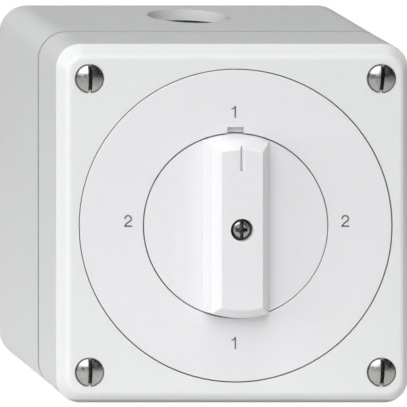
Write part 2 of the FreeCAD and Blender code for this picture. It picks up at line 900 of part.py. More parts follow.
def make_knob_screw():
    """A pan head screw with a slot and a cross in its head."""
    body = new_body("knob_screw")
    head_end = screw_seat + size.knob_head_height
    pad(body, "shank", size.knob_screw_tip, screw_seat + BURY, circle(size.knob_screw_radius))
    pad(body, "head", screw_seat, head_end, circle(size.knob_head_radius))
    round_edges(body, "head_edge", size.knob_head_round, lambda e: at_depth(e, head_end))
    half_slot = size.knob_slot_half
    half_cross = size.cross_half
    past_rim = size.knob_head_radius + 1
    slot = rectangle(-half_slot, half_slot, -past_rim, past_rim)
    cross = rectangle(-half_cross, half_cross, -half_slot, half_slot)
    pocket(body, "slot", head_end - size.knob_slot_depth, head_end, slot)
    pocket(body, "cross", head_end - size.cross_depth, head_end, cross)
    pocket(body, "cross_centre", head_end - size.cross_centre_depth, head_end, circle(size.cross_centre))
    return body


def make_shaft_seal():
    outer = size.hub_radius + size.hub_play + size.seal_section
    inner = size.hub_radius + size.running_play
    return labelled(ring(outer, inner, seal_start, seal_start + size.seal_width), "shaft_seal")


# ---------------------------------------------------------------- shaft and bearings


def square_bar(half, start, end):
    return block(-half, half, start, end, -half, half)


def make_shaft():
    clip_start = clip_end - size.clip_thickness
    bar = square_bar(size.shaft_half, shaft_start, size.shaft_front)
    journal = drum(size.journal_radius, clip_start - size.shaft_tail, shaft_start + BURY)
    groove = ring(size.journal_radius + 1, size.clip_groove_radius, clip_start, clip_end)
    thread = drum(
        size.knob_screw_radius + size.fit_play,
        size.shaft_front - size.shaft_thread_depth,
        size.shaft_front + 1,
    )
    return labelled(cut(joined([bar, journal]), [groove, thread]), "shaft")


def make_shaft_clip():
    start = clip_end - size.clip_thickness
    half_mouth = size.clip_mouth / 2
    mouth = block(-half_mouth, half_mouth, start - 1, clip_end + 1, -size.clip_radius - 1, 0)
    washer = ring(size.clip_radius, size.clip_groove_radius, start, clip_end)
    return labelled(cut(washer, [mouth]), "shaft_clip")


def make_rear_bush():
    tube = drum(size.bush_radius, size.bush_rear, flange_start + BURY)
    flange = drum(size.bush_flange_radius, flange_start, shaft_start)
    bore = drum(size.journal_radius + size.running_play, size.bush_rear - 1, shaft_start + 1)
    return labelled(cut(joined([tube, flange]), [bore]), "rear_bush")


# ---------------------------------------------------------------- switch block


def core_plate(label, start, end):
    """A round-cornered square plate of the switch block."""
    body = new_body(label)
    pad(body, "plate", start, end, rounded_rectangle(size.core_half, size.core_half, size.core_round))
    return body


def drill_tie_holes(body, start, end):
    holes = [circle(size.tie_radius + size.tie_play, *spot) for spot in tie_spots]
    pocket(body, "tie_holes", start, end, *holes)


def make_mounting_plate():
    start = size.block_rear
    body = core_plate("mounting_plate", start, core_start)
    half_standoff = size.standoff_pitch / 2
    inner = size.core_half / 2
    pad(body, "ear_high", start, core_start, rectangle(inner, size.ear_reach, inner, size.ear_reach))
    pad(body, "ear_low", start, core_start, rectangle(-size.ear_reach, -inner, -size.ear_reach, -inner))
    bores = [
        circle(size.mount_screw_radius + size.screw_play, half_standoff * sign, half_standoff * sign)
        for sign in (1, -1)
    ]
    pocket(body, "ear_bores", start, core_start, *bores)
    pocket(body, "boss_room", flange_start, core_start, circle(size.boss_hole))
    pocket(body, "bush_bore", start, flange_start, circle(size.bush_radius))
    drill_tie_holes(body, start, core_start)
    return body


def slotted_screw(radius, head_radius, tip, seat, head_height, across, up):
    """A slotted cheese head screw that points to the rear."""
    head_end = seat + head_height
    half_slot = size.small_slot / 2
    shank = drum(radius, tip, seat + BURY, across, up)
    head = drum(head_radius, seat, head_end, across, up)
    slot = block(
        across - head_radius - 1,
        across + head_radius + 1,
        head_end - head_height / 2,
        head_end + 1,
        up - half_slot,
        up + half_slot,
    )
    return cut(joined([shank, head]), [slot])


def make_mounting_screws():
    half_pitch = size.standoff_pitch / 2
    tip = size.back_wall + 1
    spots = [(half_pitch * sign, half_pitch * sign) for sign in (1, -1)]
    sizes = (size.mount_screw_radius, size.mount_head_radius, tip, core_start, size.mount_head)
    return group("mounting_screws", [slotted_screw(*sizes, *spot) for spot in spots])


def make_contact_deck(deck):
    """One phase's housing: core, four lugs, the cavity, and the channels for the contacts."""
    label = f"contact_deck_{deck + 1}"
    start = deck_start(deck)
    end = start + size.deck_pitch
    offset = lug_offset(deck)
    half_lug = size.lug_half_width
    core = core_plate(label + "_core", start, end)
    drill_tie_holes(core, start, end)
    lug_across = (offset - half_lug, offset + half_lug)
    lug_outwards = (size.core_half - 1, size.lug_reach)
    lugs = [side_block(quarter, lug_across, lug_outwards, start, end) for quarter in QUARTERS]
    floor = start + size.deck_floor
    channel = start + size.rotor_end - size.bridge_thickness - size.jaw_leaf - size.fit_play * 2
    play = size.fit_play * 2
    tools = [drum(size.cavity_radius, floor, end + 1), drum(size.boss_hole, start - 1, end)]
    half_jaw = size.jaw_half_width + play
    half_strip = size.strip_half_width + play
    inner = size.strip_inner - play
    outer = size.strip_outer + play
    pocket_half = half_lug - size.lug_wall
    for q in QUARTERS:
        low = offset - half_strip if deck == 0 else -half_jaw
        high = offset + half_strip if deck == 2 else half_jaw
        tools.append(side_block(q, (-half_jaw, half_jaw), (size.jaw_inner, outer), channel, end + 1))
        tools.append(side_block(q, (low, high), (inner, outer), channel, end + 1))
        outward = (inner, size.clamp_inner + 1)
        tools.append(side_block(q, (offset - half_strip, offset + half_strip), outward, channel, end + 1))
        room = (size.clamp_inner - size.clamp_play, size.clamp_outer + size.clamp_play)
        tools.append(side_block(q, (offset - pocket_half, offset + pocket_half), room, floor, end + 1))
        mouth = (size.clamp_outer - 1, size.lug_reach + 1)
        mouth_start = start + size.wire_mouth_start
        mouth_end = mouth_start + size.wire_mouth_height
        half_mouth = size.wire_mouth_half
        tools.append(side_block(q, (offset - half_mouth, offset + half_mouth), mouth, mouth_start, mouth_end))
    link_room = cut(
        drum(outer, channel, end + 1, sweep=90.0, begin=-90.0),
        [drum(inner, channel - 1, end + 2)],
    )
    tools.append(link_room)
    return labelled(cut(joined([core] + lugs), tools), label)


def jaw(quarter, start):
    """A contact jaw: two leaves with a gap between them, and the web that joins them."""
    half = size.jaw_half_width
    blade = start + size.rotor_end - size.bridge_thickness
    low = blade - size.fit_play - size.jaw_leaf
    high = start + size.rotor_end + size.fit_play + size.jaw_leaf
    solid = side_block(quarter, (-half, half), (size.jaw_inner, size.strip_inner + 0.2), low, high)
    gap = side_block(
        quarter,
        (-half - 1, half + 1),
        (size.jaw_inner - 1, size.jaw_web),
        blade - size.fit_play,
        start + size.rotor_end + size.fit_play,
    )
    return cut(solid, [gap])


def strip(quarter, deck):
    """The flat strip from a jaw to its terminal: out, sideways, and out again into the lug."""
    start = deck_start(deck)
    end = start + size.rotor_end
    base = end - size.bridge_thickness
    offset = lug_offset(deck)
    half = size.strip_half_width
    low = offset - half if deck == 0 else -size.jaw_half_width
    high = offset + half if deck == 2 else size.jaw_half_width
    inward = side_block(
        quarter, (-size.jaw_half_width, size.jaw_half_width), (size.jaw_web, size.strip_outer), base, end
    )
    sideways = side_block(quarter, (low, high), (size.strip_inner, size.strip_outer), base, end)
    outward = side_block(
        quarter, (offset - half, offset + half), (size.strip_inner, size.strip_end), base, end
    )
    return [inward, sideways, outward]


def screw_spot(quarter, deck):
    middle = (size.clamp_inner + size.clamp_outer) / 2
    return side_point(quarter, lug_offset(deck), middle)


def drilled(deck, quarters, parts, label):
    """A stamped contact with a screw hole at each of its terminals."""
    start = deck_start(deck)
    end = start + size.deck_pitch
    radius = size.terminal_screw_radius + size.screw_play
    holes = [drum(radius, start, end, *screw_spot(q, deck)) for q in quarters]
    return labelled(cut(joined(parts), holes), label)


def make_supply_contact(deck, quarter, label):
    parts = [jaw(quarter, deck_start(deck))] + strip(quarter, deck)
    return drilled(deck, [quarter], parts, label)


def make_load_contact(deck, label):
    """The load contact joins the bottom and right jaws by an arc round the rotor's cavity."""
    start = deck_start(deck)
    end = start + size.rotor_end
    base = end - size.bridge_thickness
    arc = cut(
        drum(size.strip_outer, base, end, sweep=90.0, begin=-90.0),
        [drum(size.strip_inner, base - 1, end + 1)],
    )
    parts = [arc]
    for quarter in (2, 3):
        parts.append(jaw(quarter, start))
        parts.extend(strip(quarter, deck))
    return drilled(deck, [2, 3], parts, label)


def make_rotor(deck):
    """A moulded rotor with a seat for the contact bridge in its front face."""
    body = new_body(f"rotor_{deck + 1}")
    start = deck_start(deck)
    end = start + size.rotor_end
    seat = end - size.bridge_thickness
    boss_start = end - size.deck_pitch
    pad(body, "drum", start + size.rotor_start, end, circle(size.rotor_radius))
    pad(body, "rear_boss", boss_start, start + size.rotor_start, circle(size.rotor_boss))
    half = size.bridge_half_width + size.fit_play
    pocket(body, "ring_seat", seat, end, circle(size.bridge_ring + size.fit_play), circle(size.sleeve_radius))
    for name, sign in (("high", 1), ("low", -1)):
        span = sorted(((size.sleeve_radius + 1) * sign, (size.rotor_radius + 1) * sign), key=by_value)
        pocket(body, f"{name}_seat", seat, end, rectangle(-half, half, *span))
    bore = size.shaft_half + size.fit_play / 2
    pocket(body, "shaft_bore", boss_start, end, rectangle(-bore, bore, -bore, bore))
    return body


def make_contact_bridge(deck):
    """A double-ended blade with a ring in its middle, upright at rest."""
    end = deck_start(deck) + size.rotor_end
    seat = end - size.bridge_thickness
    half = size.bridge_half_width
    square_blade = block(-half, half, seat, end, -size.bridge_reach, size.bridge_reach)
    blade = common([square_blade, drum(size.bridge_reach, seat, end)])
    middle = drum(size.bridge_ring, seat, end)
    bore = drum(size.sleeve_radius + size.fit_play, seat - 1, end + 1)
    return labelled(cut(joined([blade, middle]), [bore]), f"contact_bridge_{deck + 1}")


def make_terminal_clamps(deck):
    """The nut blocks that pull each wire up against its contact strip."""
    start = deck_start(deck) + size.clamp_bottom
    end = start + size.clamp_height
    offset = lug_offset(deck)
    half = size.lug_half_width - size.lug_wall - size.fit_play * 2
    clamps = []
    for q in QUARTERS:
        nut = side_block(q, (offset - half, offset + half), (size.clamp_inner, size.clamp_outer), start, end)
        bore = drum(size.terminal_screw_radius + size.fit_play, start - 1, end + 1, *screw_spot(q, deck))
        clamps.append(cut(nut, [bore]))
    return group(f"terminal_clamps_{deck + 1}", clamps)


def make_terminal_screws(deck):
    seat = deck_start(deck) + size.rotor_end
    tip = seat - size.terminal_shank
    sizes = (size.terminal_screw_radius, size.terminal_head_radius, tip, seat, size.terminal_head)
    screws = [slotted_screw(*sizes, *screw_spot(q, deck)) for q in QUARTERS]
    return group(f"terminal_screws_{deck + 1}", screws)


# ---------------------------------------------------------------- indexing mechanism


def make_detent_housing():
    body = core_plate("detent_housing", detent_start, detent_end)
    floor = detent_start + size.deck_floor
    room = rectangle(
        -size.spring_room, size.spring_room, -size.spring_room_half_length, size.spring_room_half_length
    )
    pocket(body, "room", floor, detent_end, room)
    slot_near = spring_near - size.slot_play
    slot_far = spring_near + size.spring_thickness + size.slot_play
    reach = size.spring_half_length + size.fit_play
    slot_start = spring_start - size.fit_play
    for name, low, high in (("left", -slot_far, -slot_near), ("right", slot_near, slot_far)):
        pocket(body, f"{name}_slot", slot_start, detent_end, rectangle(low, high, -reach, reach))
    pocket(body, "boss_bore", detent_start, floor, circle(size.boss_hole))
    drill_tie_holes(body, detent_start, detent_end)
    return body


def make_detent_cam():
    """A square cam with clipped corners, on bosses that run in the housing and in the plate."""
    boss_start = detent_start + size.rotor_end - size.deck_pitch
    cam_start = detent_start + size.rotor_start
    cam_end = detent_end - size.cam_play
    half = size.cam_half
    square = common([square_bar(half, cam_start, cam_end), drum(size.cam_corner, cam_start, cam_end)])
    rear_boss = drum(size.rotor_boss, boss_start, cam_start)
    front_boss = drum(size.cam_front_boss, cam_end - BURY, block_front + size.cam_play)
    bore = square_bar(size.shaft_half + size.fit_play / 2, boss_start - 1, block_front + 1)
    return labelled(cut(joined([rear_boss, square, front_boss]), [bore]), "detent_cam")


def make_detent_springs():
    """Two leaf springs that lie along opposite flats of the cam."""
    far = spring_near + size.spring_thickness
    end = spring_start + size.spring_width
    reach = size.spring_half_length
    sides = ((-far, -spring_near), (spring_near, far))
    springs = [block(left, right, spring_start, end, -reach, reach) for left, right in sides]
    return group("detent_springs", springs)


def make_detent_plate():
    body = core_plate("detent_plate", detent_end, block_front)
    bore = circle(size.cam_front_boss + size.running_play)
    pocket(body, "bearing_bore", detent_end, block_front, bore)
    drill_tie_holes(body, detent_end, block_front)
    return body


def make_tie_bolts():
    tip = size.block_rear - size.tie_nut - size.tie_tail
    sizes = (size.tie_radius, size.tie_head_radius, tip, block_front, size.tie_head)
    return group("tie_bolts", [slotted_screw(*sizes, *spot) for spot in tie_spots])


def make_tie_nuts():
    start = size.block_rear - size.tie_nut
    nuts = []
    for spot in tie_spots:
        blank = hexagon(size.tie_nut_across, start, size.block_rear, *spot)
        bore = drum(size.tie_radius + size.fit_play, start - 1, core_start, *spot)
        nuts.append(cut(blank, [bore]))
    return group("tie_nuts", nuts)


# ---------------------------------------------------------------- through terminals


def through_span(side):
    """The left, right, low and high sides of one through terminal."""
    middle = size.through_offset * side
    half_length = size.through_length / 2
    half_height = size.through_height / 2
    low = size.through_low - half_height
    return middle - half_length, middle + half_length, low, size.through_low + half_height


def through_screw_spots(side):
    middle = size.through_offset * side
    half_pitch = size.through_pitch / 2
    return [(middle + half_pitch * sign, size.through_low) for sign in (-1, 1)]


def make_through_terminal(side, label):
    end = through_start + size.through_depth
    middle_depth = through_start + size.through_depth / 2
    left, right, low, high = through_span(side)
    body = block(left, right, through_start, end, low, high)
    wire_hole = doc.addObject("Part::Cylinder", "wire_hole")
    wire_hole.Placement = Placement(Vector(), Rotation(Vector(0, 1, 0), 90))
    drive(wire_hole, "Radius", size.through_wire_radius)
    drive(wire_hole, "Height", size.through_length + 2)
    place(wire_hole, left - 1, middle_depth, size.through_low)
    peg_hole_end = through_start + size.peg_height + size.peg_play
    peg_hole = drum(
        size.peg_radius + size.peg_play,
        through_start - 1,
        peg_hole_end,
        size.through_offset * side,
        size.through_low,
    )
    screw_hole_radius = size.terminal_screw_radius + size.fit_play
    spots = through_screw_spots(side)
    screw_holes = [drum(screw_hole_radius, middle_depth, end + 1, *spot) for spot in spots]
    return labelled(cut(body, [wire_hole, peg_hole] + screw_holes), label)


def make_through_terminal_screws():
    end = through_start + size.through_depth
    tip = end - size.through_depth / 2
    seat = end + size.through_screw_lift
    sizes = (size.terminal_screw_radius, size.through_head_radius, tip, seat, size.through_head)
    spots = through_screw_spots(-1) + through_screw_spots(1)
    return group("through_terminal_screws", [slotted_screw(*sizes, *spot) for spot in spots])


# ---------------------------------------------------------------- assembly

pieces = [
    make_base_box(),
    make_box_gasket(),
    make_cover(),
    make_cover_screws(),
    make_cover_screw_inserts(),
    make_cover_screw_seals(),
    make_front_plate(),
    make_knob(),
    make_knob_screw(),
    make_shaft_seal(),
    make_shaft(),
    make_shaft_clip(),
    make_rear_bush(),
    make_mounting_plate(),
    make_mounting_screws(),
    make_detent_housing(),
    make_detent_cam(),
    make_detent_springs(),
    make_detent_plate(),
    make_tie_bolts(),
    make_tie_nuts(),
    make_through_terminal(-1, "neutral_terminal"),
    make_through_terminal(1, "earth_terminal"),
    make_through_terminal_screws(),
]
for deck in range(DECKS):
    number = deck + 1
    pieces.append(make_contact_deck(deck))
    pieces.append(make_rotor(deck))
    pieces.append(make_contact_bridge(deck))
    pieces.append(make_supply_contact(deck, 0, f"supply_1_contact_{number}"))
    pieces.append(make_supply_contact(deck, 1, f"supply_2_contact_{number}"))
    pieces.append(make_load_contact(deck, f"load_contact_{number}"))
    pieces.append(make_terminal_clamps(deck))
    pieces.append(make_terminal_screws(deck))

doc.recompute()
faults = [thing.Label for thing in doc.Objects if {"Invalid", "Error"} & set(thing.State)]
if faults:
    raise RuntimeError(f"these objects failed to recompute: {faults}")
for piece in pieces:
    if piece.Shape.isNull() or not piece.Shape.isValid():
        raise RuntimeError(f"{piece.Label} has no valid shape")

os.makedirs("parts", exist_ok=True)
for piece in pieces:
    piece.Shape.exportStep(f"parts/{piece.Label}.step")
    print(piece.Label, len(piece.Shape.Solids), round(piece.Shape.Volume, 1))
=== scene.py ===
import json
import math

import bmesh
import bpy
from mathutils import Matrix, Vector


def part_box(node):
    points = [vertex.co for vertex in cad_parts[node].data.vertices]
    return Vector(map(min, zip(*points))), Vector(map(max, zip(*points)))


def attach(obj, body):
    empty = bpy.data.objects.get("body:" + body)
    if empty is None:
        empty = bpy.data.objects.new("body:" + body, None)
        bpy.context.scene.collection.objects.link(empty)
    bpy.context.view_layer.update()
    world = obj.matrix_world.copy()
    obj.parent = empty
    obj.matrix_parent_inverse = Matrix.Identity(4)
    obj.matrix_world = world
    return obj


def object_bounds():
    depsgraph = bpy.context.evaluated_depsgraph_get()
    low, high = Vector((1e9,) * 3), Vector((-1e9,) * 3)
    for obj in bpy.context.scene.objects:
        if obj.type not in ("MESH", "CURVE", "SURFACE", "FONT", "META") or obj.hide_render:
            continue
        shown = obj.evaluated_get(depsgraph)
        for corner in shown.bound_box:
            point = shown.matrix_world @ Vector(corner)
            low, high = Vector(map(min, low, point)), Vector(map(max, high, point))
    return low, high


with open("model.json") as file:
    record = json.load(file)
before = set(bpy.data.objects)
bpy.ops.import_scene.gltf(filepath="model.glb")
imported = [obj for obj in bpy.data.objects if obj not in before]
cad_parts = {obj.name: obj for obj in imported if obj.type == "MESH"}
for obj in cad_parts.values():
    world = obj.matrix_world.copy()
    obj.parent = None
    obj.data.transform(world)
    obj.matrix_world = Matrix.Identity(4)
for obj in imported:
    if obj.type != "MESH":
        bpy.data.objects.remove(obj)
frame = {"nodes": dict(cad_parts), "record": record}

# Surface-mounted rotary transfer switch. Everything is in metres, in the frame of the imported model:
# +Z up, the front looks along -Y, and the origin is the centre of the back face.

MM = 0.001
cad_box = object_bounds()
nodes = frame["nodes"]
slot_of = {row["node"]: row["material_slot"] for row in frame["record"]["subparts"]}

cover_low, cover_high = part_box("cover")
screws_low, screws_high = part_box("cover_screws")
face_y = cover_low.y
cover_back_y = cover_high.y
box_bottom = cad_box[0].z


# ---------------------------------------------------------------- camera

CAMERA_PLACE = Vector((-640.0, -2399.0, 447.0)) * MM
PICTURE_CENTRE = Vector((-8.05, 0.0, 5.55)) * MM  # beside and above the switch's axis, on the cover's face
PICTURE_WIDTH = 101.75 * MM  # what the picture shows of the plane of the cover's face


def make_camera():
    """A view camera above and to the left, whose picture plane is parallel to the front of the box.

    The front is therefore seen without foreshortening although two sides show. The columns of the
    camera's matrix are the picture's right, its up, and the way back from the picture's centre to
    the lens, so the last one isn't square to the others. The lens is longer by that slant.
    """
    data = bpy.data.cameras.new("camera")
    camera = bpy.data.objects.new("camera", data)
    bpy.context.scene.collection.objects.link(camera)
    target = PICTURE_CENTRE + Vector((0.0, face_y, 0.0))
    distance = target.y - CAMERA_PLACE.y
    slant = (target - CAMERA_PLACE) / distance
    right, up = Vector((1.0, 0.0, 0.0)), Vector((0.0, 0.0, 1.0))
    matrix = Matrix((right, up, -slant)).transposed().to_4x4()
    matrix.translation = CAMERA_PLACE
    data.lens = data.sensor_width * distance / PICTURE_WIDTH * slant.length
    data.clip_start = distance / 10
    data.clip_end = distance * 10
    stand = bpy.data.objects.new("camera_stand", None)
    bpy.context.scene.collection.objects.link(stand)
    camera.parent = stand
    camera.matrix_parent_inverse = matrix
    bpy.context.scene.camera = camera


make_camera()

# ---------------------------------------------------------------- node helpers

NOISE_LOW = 0.3
NOISE_HIGH = 0.7


class Shader:
    """A material's node tree, with short calls for the nodes that the finishes share."""

    def __init__(self, name):
        self.material = bpy.data.materials.new(name)
        self.material.use_nodes = True
        self.tree = self.material.node_tree
        self.tree.nodes.clear()
        self.output = self.add("ShaderNodeOutputMaterial")
        self.surface = self.add("ShaderNodeBsdfPrincipled")
        self.join(self.surface.outputs["BSDF"], self.output.inputs["Surface"])
        coordinates = self.add("ShaderNodeTexCoord")
        self.place = self.vector("SCALE", coordinates.outputs["Object"], scale=1 / MM)

    def add(self, kind, **values):
        node = self.tree.nodes.new(kind)
        for name, value in values.items():
            setattr(node, name, value)
        return node

    def join(self, source, target):
        self.tree.links.new(source, target)

    def feed(self, socket, value):
        """Give a socket a number, a colour or another node's output."""
        if isinstance(value, bpy.types.NodeSocket):
            self.join(value, socket)
        else:
            socket.default_value = value

    def math(self, operation, *values, clamp=False):
        node = self.add("ShaderNodeMath", operation=operation, use_clamp=clamp)
        for socket, value in zip(node.inputs, values):
            self.feed(socket, value)
        return node.outputs[0]

    def vector(self, operation, *values, scale=None):
        node = self.add("ShaderNodeVectorMath", operation=operation)
        for socket, value in zip(node.inputs, values):
            self.feed(socket, value)
        if scale is not None:
            self.feed(node.inputs["Scale"], scale)
        return node.outputs["Value"] if operation in ("LENGTH", "DOT_PRODUCT") else node.outputs["Vector"]

    def noise(self, size, detail=2.0, roughness=0.5, where=None):
        """Noise whose features are about this many millimetres across."""
        node = self.add("ShaderNodeTexNoise")
        self.feed(node.inputs["Vector"], where or self.place)
        node.inputs["Scale"].default_value = 1.0 / size
        node.inputs["Detail"].default_value = detail
        node.inputs["Roughness"].default_value = roughness
        return node.outputs["Fac"]

    def spread(self, value, low, high, start=0.0, end=1.0):
        """Map a value from one range to another, clamped."""
        node = self.add("ShaderNodeMapRange")
        for name, number in (("From Min", start), ("From Max", end), ("To Min", low), ("To Max", high)):
            self.feed(node.inputs[name], number)
        self.feed(node.inputs["Value"], value)
        return node.outputs["Result"]

    def vary(self, noise, low, high):
        """Map noise to a range. Noise seldom leaves the middle of its own range."""
        return self.spread(noise, low, high, NOISE_LOW, NOISE_HIGH)

    def mix(self, share, first, second):
        node = self.add("ShaderNodeMix", data_type="RGBA")
        self.feed(node.inputs["Factor"], share)
        self.feed(node.inputs["A"], (*first, 1.0) if isinstance(first, tuple) else first)
        self.feed(node.inputs["B"], (*second, 1.0) if isinstance(second, tuple) else second)
        return node.outputs["Result"]

    def edges(self, radius):
        """1 within about this many millimetres of a sharp edge, and 0 on flats."""
        bevel = self.add("ShaderNodeBevel", samples=4)
        bevel.inputs["Radius"].default_value = radius * MM
        true_normal = self.add("ShaderNodeNewGeometry").outputs["Normal"]
        likeness = self.vector("DOT_PRODUCT", bevel.outputs["Normal"], true_normal)
        return self.spread(likeness, 1.0, 0.0, 0.75, 0.99)

    def crevices(self, reach):
        """1 in gaps and slots narrower than about this many millimetres, and 0 on open surfaces."""
        node = self.add("ShaderNodeAmbientOcclusion", samples=6)
        node.inputs["Distance"].default_value = reach * MM
        return self.spread(node.outputs["AO"], 1.0, 0.0, 0.3, 0.8)

    def level_band(self, middle, width):
        """1 within a band of this width about one Y, both in millimetres, and 0 elsewhere."""
        apart = self.add("ShaderNodeSeparateXYZ")
        self.join(self.place, apart.inputs["Vector"])
        off = self.math("ABSOLUTE", self.math("SUBTRACT", apart.outputs["Y"], middle))
        return self.spread(off, 1.0, 0.0, width / 2 - 0.1, width / 2 + 0.1)

    def bump(self, *layers):
        """Stack bumps, each a height from 0 to 1 and its depth in millimetres."""
        normal = None
        for height, depth in layers:
            node = self.add("ShaderNodeBump")
            node.inputs["Distance"].default_value = depth * MM
            self.join(height, node.inputs["Height"])
            if normal is not None:
                self.join(normal, node.inputs["Normal"])
            normal = node.outputs["Normal"]
        self.join(normal, self.surface.inputs["Normal"])

    def set(self, **sockets):
        for name, value in sockets.items():
            self.feed(self.surface.inputs[name.replace("_", " ")], value)


# ---------------------------------------------------------------- finishes

EDGE_POLISH = 0.0875  # how much less rough a worn edge of a moulding is
SEAM_GAP = 0.8  # between the base and the cover, in millimetres
SEAM_WIDTH = SEAM_GAP + 0.4  # the gap with its rounded lips, and the width of the painted dark band along it
HEAD_RADIUS = 3.5  # of the cover's screws, in millimetres


def moulded(
    name, light, dark, roughness, grain, grain_depth, subsurface=0.0, gap=0.45, shade_strength=0.75, seam=None
):
    """Moulded plastic: spark-eroded grain, faint flow marks, painted shade in the gaps, and polished edges.

    The grain, its depth, the widest gap that gets painted shade and the Y of a seam that gets a painted
    dark band are in millimetres.
    """
    shader = Shader(name)
    flow = shader.noise(26.0, detail=3.0)
    cloud = shader.noise(4.5, detail=4.0, roughness=0.6)
    fine = shader.noise(grain, detail=3.0, roughness=0.65)
    tone = shader.math("ADD", shader.math("MULTIPLY", flow, 0.6), shader.math("MULTIPLY", cloud, 0.4))
    colour = shader.mix(shader.vary(tone, 0.0, 1.0), dark, light)
    # Painted shade: the colour is darkened towards a dark grey in gaps and slots found by ambient
    # occlusion, and in a band at the seam's Y, where shade falls between parts.
    gap_shade_colour = tuple(channel * 0.4 for channel in dark)
    dust_and_shade = shader.crevices(gap)
    if seam is not None:
        dust_and_shade = shader.math("MAXIMUM", dust_and_shade, shader.level_band(seam, SEAM_WIDTH))
    colour = shader.mix(shader.math("MULTIPLY", dust_and_shade, shade_strength), colour, gap_shade_colour)
    rough = shader.math(
        "ADD",
        shader.vary(cloud, roughness - 0.05, roughness + 0.05),
        shader.vary(fine, -0.05, 0.05),
    )
    polish = shader.math("MULTIPLY", shader.edges(0.35), EDGE_POLISH)
    rough = shader.math("SUBTRACT", rough, polish, clamp=True)
    shader.set(Base_Color=colour, Roughness=rough, IOR=1.5, Subsurface_Weight=subsurface)
    shader.surface.inputs["Subsurface Radius"].default_value = (1.0, 0.9, 0.8)
    shader.surface.inputs["Subsurface Scale"].default_value = 1.5 * MM
    shader.bump((flow, 0.02), (fine, grain_depth))
    return shader.material


def printed(name, colour):
    """Pad-printed ink: slightly uneven cover and a matt, faintly stippled film."""
    shader = Shader(name)
    patchy = shader.noise(0.5, detail=4.0, roughness=0.7)
    stipple = shader.noise(0.08, detail=2.0)
    lighter = tuple(channel * 1.35 for channel in colour)
    shader.set(
        Base_Color=shader.mix(shader.spread(patchy, 0.0, 1.0, 0.35, 0.7), colour, lighter),
        Roughness=shader.vary(stipple, 0.5, 0.72),
    )
    shader.bump((stipple, 0.004))
    return shader.material


def ring_distance(shader, centre_x, centre_z):
    """Millimetres from the nearest of the axes along Y that stand in mirror image about the origin."""
    apart = shader.add("ShaderNodeSeparateXYZ")
    shader.join(shader.place, apart.inputs["Vector"])
    across = shader.math("SUBTRACT", shader.math("ABSOLUTE", apart.outputs["X"]), centre_x / MM)
    up = shader.math("SUBTRACT", shader.math("ABSOLUTE", apart.outputs["Z"]), centre_z / MM)
    squares = shader.math("ADD", shader.math("MULTIPLY", across, across), shader.math("MULTIPLY", up, up))
    return shader.math("SQRT", squares)


def turned_metal(name, colour, shade, roughness, centre_x=0.0, centre_z=0.0):
    """Plated and turned metal: tool rings, stains, worn edges, and painted shade in slots and at a head's
    rim.

    The rings run round the axis at the given centre. The rim is as far out as on the cover's screws.
    """
    shader = Shader(name)
    radius = ring_distance(shader, centre_x, centre_z)
    pack = shader.add("ShaderNodeCombineXYZ")
    shader.join(radius, pack.inputs["X"])
    rings = shader.noise(0.10, detail=3.0, roughness=0.7, where=pack.outputs["Vector"])
    stain = shader.noise(1.1, detail=4.0, roughness=0.65)
    pits = shader.noise(0.06, detail=2.0)
    worn = shader.edges(0.15)
    bright = tuple(min(1.0, channel * 1.25) for channel in colour)
    body = shader.mix(shader.spread(stain, 0.0, 1.0, 0.35, 0.7), shade, colour)
    body = shader.mix(shader.math("MULTIPLY", worn, 0.6), body, bright)
    # Painted shade: slots and a ring just inside a head's rim are darkened almost to black in the colour,
    # standing in for the shade in the slot and the shadow of the gap round the head.
    slot_shade_colour = tuple(channel * 0.05 for channel in shade)
    on_head = shader.math("LESS_THAN", radius, HEAD_RADIUS + 1.0)
    outwards = shader.spread(radius, 0.0, 0.85, HEAD_RADIUS - 0.32, HEAD_RADIUS - 0.12)
    rim_shadow = shader.math("MULTIPLY", outwards, on_head)
    slot_and_rim_shade = shader.math("MAXIMUM", shader.crevices(2.2), rim_shadow)
    shader.set(
        Base_Color=shader.mix(slot_and_rim_shade, body, slot_shade_colour),
        Metallic=1.0,
        Roughness=shader.math(
            "ADD",
            shader.vary(stain, roughness - 0.05, roughness + 0.08),
            shader.vary(rings, -0.04, 0.05),
            clamp=True,
        ),
    )
    shader.bump((rings, 0.006), (pits, 0.002))
    return shader.material


def drawn_metal(name, colour, shade, roughness):
    """Stamped or drawn metal: fine lines one way, a cloudy tone, and bright sheared edges."""
    shader = Shader(name)
    along = shader.vector("MULTIPLY", shader.place, (1.0, 1.0, 14.0))
    lines = shader.noise(0.9, detail=4.0, roughness=0.7, where=along)
    cloud = shader.noise(2.4, detail=4.0)
    worn = shader.edges(0.12)
    body = shader.mix(shader.vary(cloud, 0.0, 1.0), shade, colour)
    bright = tuple(min(1.0, channel * 1.2) for channel in colour)
    shader.set(
        Base_Color=shader.mix(shader.math("MULTIPLY", worn, 0.5), body, bright),
        Metallic=1.0,
        Roughness=shader.math(
            "ADD",
            shader.vary(cloud, roughness - 0.05, roughness + 0.07),
            shader.vary(lines, -0.06, 0.06),
            clamp=True,
        ),
    )
    shader.bump((lines, 0.008))
    return shader.material


def rubber(name, colour):
    """Moulded elastomer: dusty bloom over a dark, dull body."""
    shader = Shader(name)
    bloom = shader.noise(1.6, detail=5.0, roughness=0.65)
    fine = shader.noise(0.12, detail=2.0)
    dust_and_shade = tuple(channel + 0.05 for channel in colour)
    shader.set(
        Base_Color=shader.mix(shader.spread(bloom, 0.0, 1.0, 0.45, 0.75), colour, dust_and_shade),
        Roughness=shader.vary(bloom, 0.55, 0.8),
    )
    shader.bump((fine, 0.01))
    return shader.material


screw_x = (screws_high.x - screws_low.x) / 2 - HEAD_RADIUS * MM
screw_z = (screws_high.z - screws_low.z) / 2 - HEAD_RADIUS * MM

